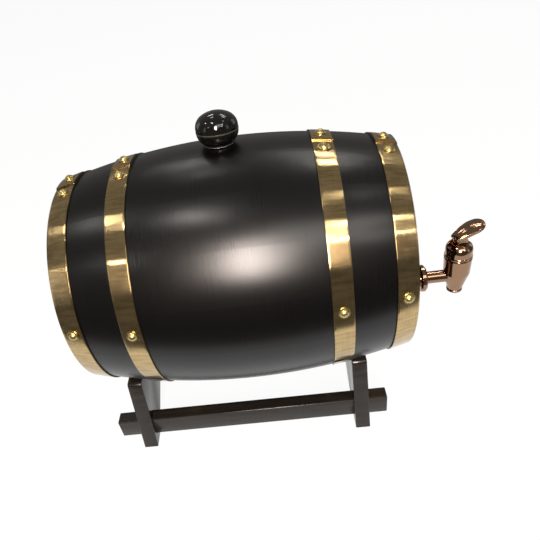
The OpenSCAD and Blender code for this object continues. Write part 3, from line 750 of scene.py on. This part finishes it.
# the camera that was fitted to the outlines of the cask and its hoops
CAMERA_PLACE = Vector((0.04142, -0.36535, 0.24898))  # from the middle of the cask
CAMERA_YAW, CAMERA_PITCH, CAMERA_ROLL = -0.101, 0.670, 0.177
CAMERA_LENS, CAMERA_SENSOR = 34.764, 36
CAMERA_SHIFT_X, CAMERA_SHIFT_Y = 0.0337, 0.0488


class CASK_OT_stage(bpy.types.Operator):
    """Make the plain floor, the soft lamps and the camera"""
    bl_idname = "cask.stage"
    bl_label = "Stage"

    def execute(self, context):
        self.floor()
        self.world()
        for lamp in LAMPS:
            self.lamp(*lamp)
        for card in CARDS:
            self.card(*card)
        self.camera()
        return {"FINISHED"}

    def sheet(self, name, wide, deep, finish):
        """A flat piece of the stage, round the origin."""
        bm = bmesh.new()
        bmesh.ops.create_grid(bm, x_segments=1, y_segments=1, size=0.5)
        bmesh.ops.scale(bm, vec=(wide, deep, 1), verts=bm.verts)
        mesh = bpy.data.meshes.new(name)
        bm.to_mesh(mesh)
        bm.free()
        mesh.materials.append(finish.material)
        sheet = bpy.data.objects.new(name, mesh)
        bpy.context.scene.collection.objects.link(sheet)
        return sheet

    def turn(self, thing, axis, way):
        """Turns a thing so that one of its own axes points the given way."""
        thing.rotation_mode = "QUATERNION"
        thing.rotation_quaternion = way.to_track_quat(axis, "Y")

    def floor(self):
        """A floor that looks white and still shows the object's shadow."""
        paint = Finish("floor_paint", roughness=0.9, base_color=look("stage_look").floor)
        glow = paint.node("ShaderNodeEmission", {}, {"Color": WHITE, "Strength": 1.0})
        mix = paint.node("ShaderNodeMixShader", {}, {
            0: paint.seen() * FLOOR_GLOW, 1: Wire(paint, paint.shader.outputs[0]), 2: glow})
        paint.fill(paint.tree.nodes["Material Output"].inputs["Surface"], mix)
        self.sheet("floor", FLOOR_SIZE, FLOOR_SIZE, paint)

    def world(self):
        """White where it is seen, and a soft grey light on the object."""
        world = bpy.data.worlds.new("studio")
        bpy.context.scene.world = world
        world.use_nodes = True
        sky = Shading(world.node_tree)
        sky.fill(world.node_tree.nodes["Background"].inputs["Color"],
                 sky.blend(sky.seen(), WORLD_GREY, WHITE))

    def lamp(self, name, place, size, strength):
        """An oval lamp that points at the cask."""
        data = bpy.data.lights.new(name, "AREA")
        data.shape = "ELLIPSE"
        data.size, data.size_y = size
        # power in proportion to the area, so strength is how bright the lamp itself looks
        data.energy = strength * look("stage_look").light * math.pi * size[0] * size[1]
        data.color = KEY_COLOUR if name == "key" else LAMP_COLOUR
        lamp = bpy.data.objects.new(name, data)
        bpy.context.scene.collection.objects.link(lamp)
        lamp.location = place
        self.turn(lamp, "-Z", LAMP_AIM - Vector(place))

    def card(self, name, place, size, facing, strength):
        """A grey card that only reflections see."""
        grey = Finish(name, base_color=(0, 0, 0), emission_color=CARD_COLOUR,
                      emission_strength=strength, specular_ior_level=0.0)
        card = self.sheet(name, *size, grey)
        card.location = place
        self.turn(card, "Z", Vector(facing))
        card.visible_camera = card.visible_diffuse = card.visible_shadow = False

    def camera(self):
        """The photograph's viewing angle."""
        data = bpy.data.cameras.new("camera")
        data.sensor_width, data.lens = CAMERA_SENSOR, CAMERA_LENS
        data.shift_x, data.shift_y = CAMERA_SHIFT_X, CAMERA_SHIFT_Y
        camera = bpy.data.objects.new("camera", data)
        bpy.context.scene.collection.objects.link(camera)
        yaw, pitch, roll = CAMERA_YAW, CAMERA_PITCH, CAMERA_ROLL
        ahead = Vector((math.sin(yaw) * math.cos(pitch), math.cos(yaw) * math.cos(pitch),
                        -math.sin(pitch)))
        level = Vector((math.cos(yaw), -math.sin(yaw), 0))
        down = ahead.cross(level)
        right = math.cos(roll) * level + math.sin(roll) * down
        low = -math.sin(roll) * level + math.cos(roll) * down
        turn = Matrix((right, -low, -ahead)).transposed()
        place = Vector((CASK_X, 0, AXIS_Z)) + CAMERA_PLACE
        camera.matrix_world = Matrix.Translation(place) @ turn.to_4x4()
        bpy.context.scene.camera = camera
        bpy.context.scene.view_settings.view_transform = "Standard"


class CASK_PT_panel(bpy.types.Panel):
    """Lists the dispenser's pieces with their sizes and colours"""
    bl_idname = "CASK_PT_panel"
    bl_label = "Cask dispenser"
    bl_space_type = "VIEW_3D"
    bl_region_type = "UI"
    bl_category = "Cask"

    def draw(self, context):
        for name, group in LOOKS.items():
            box = self.layout.box()
            for prop in group.__annotations__:
                box.prop(getattr(context.scene, name), prop)
        for step in STEPS:
            self.layout.operator(step.bl_idname)


STEPS = (CASK_OT_staves, CASK_OT_hoops, CASK_OT_tap, CASK_OT_knob, CASK_OT_stand, CASK_OT_stage)
CLASSES = (*LOOKS.values(), *STEPS, CASK_PT_panel)


def register():
    for cls in CLASSES:
        bpy.utils.register_class(cls)
    for name, group in LOOKS.items():
        setattr(bpy.types.Scene, name, PointerProperty(type=group))


def unregister():
    for name in LOOKS:
        delattr(bpy.types.Scene, name)
    for cls in reversed(CLASSES):
        bpy.utils.unregister_class(cls)


def main():
    register()
    for step in STEPS:
        category, action = step.bl_idname.split(".")
        getattr(getattr(bpy.ops, category), action)()


if __name__ == "__main__":
    main()
